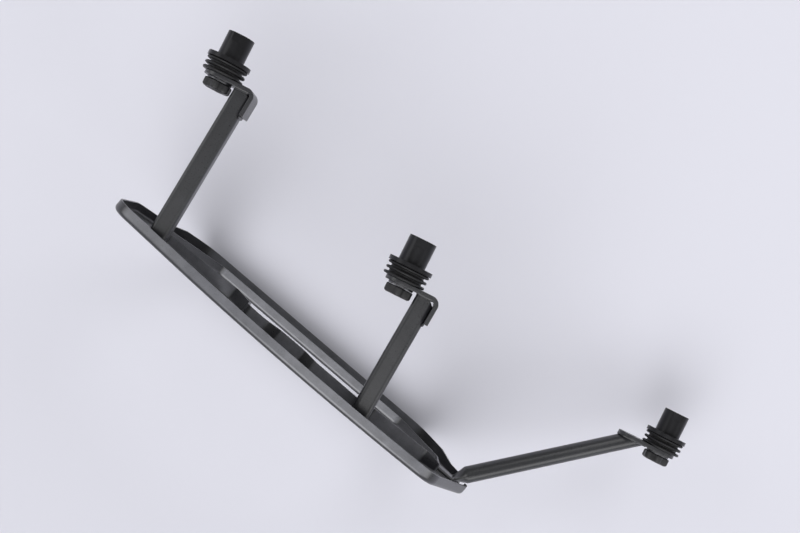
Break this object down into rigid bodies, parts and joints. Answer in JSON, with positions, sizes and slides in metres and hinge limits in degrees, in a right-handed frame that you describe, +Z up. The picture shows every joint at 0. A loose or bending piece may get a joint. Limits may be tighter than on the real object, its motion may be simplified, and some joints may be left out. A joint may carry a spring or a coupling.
{
  "type": "pannier frame",
  "caption": "Pannier frame for the right side of a motorcycle: folded sheet ring on tubular struts, held by quarter-turn fasteners with rubber bushes.",
  "frame": {"origin": "centre of the four pannier bolts, on the outer face of the ring", "axes": "+X forward along the ring, +Y inward to the motorcycle, +Z up"},
  "size_m": [0.6058, 0.2058, 0.255],
  "materials": {
    "powder_coat": "satin black powder coat",
    "rubber": "moulded black rubber",
    "knob_plastic": "grained black plastic",
    "black_steel": "dark zinc-plated steel",
    "spring_steel": "tempered spring steel",
    "black_alloy": "black anodised aluminium"
  },
  "bodies": {
    "frame": {"frame_plate": "powder_coat", "rear_strut": "powder_coat", "rear_tab": "powder_coat", "rear_bush": "rubber", "rear_washer": "black_steel", "rear_receptacle": "black_alloy", "front_strut": "powder_coat", "front_tab": "powder_coat", "front_bush": "rubber", "front_washer": "black_steel", "front_receptacle": "black_alloy", "lower_strut": "powder_coat", "lower_tab": "powder_coat", "lower_bush": "rubber", "lower_washer": "black_steel", "lower_receptacle": "black_alloy"},
    "rear_lock": {"rear_knob": "knob_plastic", "rear_stud": "black_steel", "rear_cross_pin": "black_steel", "rear_clip": "spring_steel", "rear_spring": "spring_steel"},
    "front_lock": {"front_knob": "knob_plastic", "front_stud": "black_steel", "front_cross_pin": "black_steel", "front_clip": "spring_steel", "front_spring": "spring_steel"},
    "lower_lock": {"lower_knob": "knob_plastic", "lower_stud": "black_steel", "lower_cross_pin": "black_steel", "lower_clip": "spring_steel", "lower_spring": "spring_steel"}
  },
  "joints": [
    {"name": "rear_lock_turn", "type": "hinge", "parent": "frame", "child": "rear_lock", "pos_m": [-0.218, 0.154, 0.072], "axis": [-0.2419, 0.9703, 0], "range_deg": [0, 90]},
    {"name": "front_lock_turn", "type": "hinge", "parent": "frame", "child": "front_lock", "pos_m": [0.031, 0.119, 0.102], "axis": [-0.2419, 0.9703, 0], "range_deg": [0, 90]},
    {"name": "lower_lock_turn", "type": "hinge", "parent": "frame", "child": "lower_lock", "pos_m": [0.344, 0.159, -0.06], "axis": [-0.2419, 0.9703, 0], "range_deg": [0, 90]}
  ]
}
